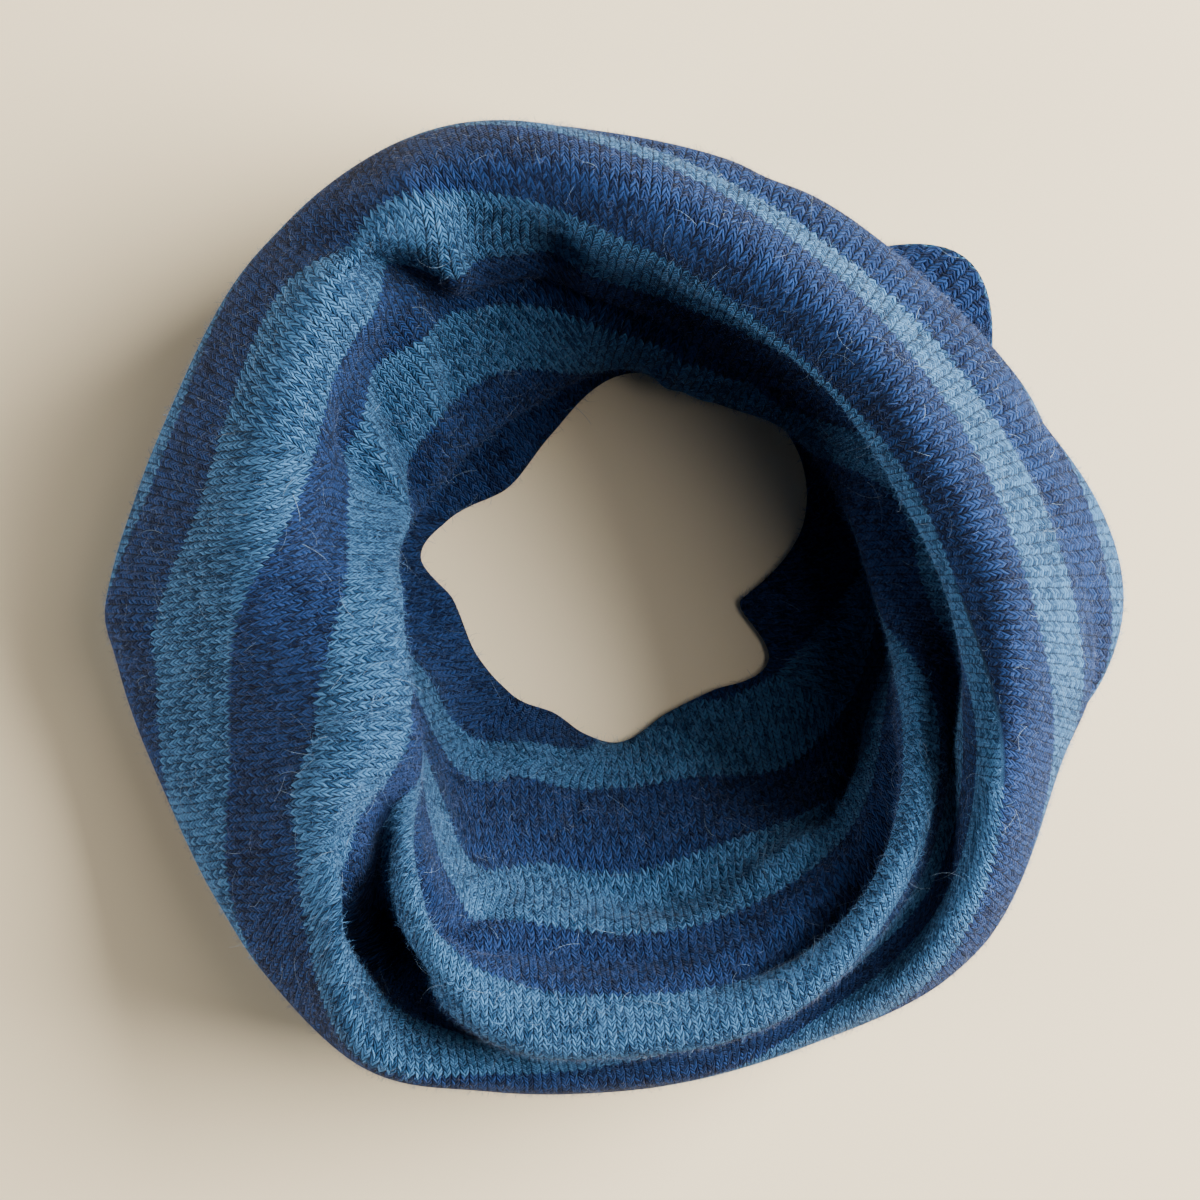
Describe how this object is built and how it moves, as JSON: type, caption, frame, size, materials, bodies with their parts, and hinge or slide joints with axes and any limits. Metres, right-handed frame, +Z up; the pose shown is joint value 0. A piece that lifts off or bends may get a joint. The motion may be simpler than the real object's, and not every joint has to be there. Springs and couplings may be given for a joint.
{
  "type": "infinity scarf",
  "caption": "Tubular knitted neck warmer with wide two-tone stripes, slumped into a soft ring that stands on its rolled lower edge, with an open middle.",
  "frame": {"origin": "bottom centre of the box around the cloth, on the surface that it stands on", "axes": "+Z up; +X to the side where the outer wall slopes widest; +Y towards the side where the inner wall drops straight to the opening"},
  "size_m": [0.2368, 0.2194, 0.083],
  "materials": {
    "outer_hem_knit": "napped knit, matt",
    "outer_wall_knit": "napped knit, matt",
    "rim_roll_knit": "napped knit, matt",
    "valley_wall_knit": "napped knit, matt",
    "second_roll_knit": "napped knit, matt",
    "inner_wall_knit": "napped knit, matt",
    "inner_hem_knit": "napped knit, matt"
  },
  "bodies": {
    "root": {"outer_hem_back": "outer_hem_knit", "outer_wall_back": "outer_wall_knit", "rim_roll_back": "rim_roll_knit", "valley_wall_back": "valley_wall_knit", "second_roll_back": "second_roll_knit", "inner_wall_back": "inner_wall_knit", "inner_hem_back": "inner_hem_knit", "outer_hem_left": "outer_hem_knit", "outer_wall_left": "outer_wall_knit", "rim_roll_left": "rim_roll_knit", "valley_wall_left": "valley_wall_knit", "second_roll_left": "second_roll_knit", "inner_wall_left": "inner_wall_knit", "inner_hem_left": "inner_hem_knit", "outer_hem_front": "outer_hem_knit", "outer_wall_front": "outer_wall_knit", "rim_roll_front": "rim_roll_knit", "valley_wall_front": "valley_wall_knit", "second_roll_front": "second_roll_knit", "inner_wall_front": "inner_wall_knit", "inner_hem_front": "inner_hem_knit", "outer_hem_right": "outer_hem_knit", "outer_wall_right": "outer_wall_knit", "rim_roll_right": "rim_roll_knit", "valley_wall_right": "valley_wall_knit", "second_roll_right": "second_roll_knit", "inner_wall_right": "inner_wall_knit", "inner_hem_right": "inner_hem_knit"}
  },
  "joints": []
}
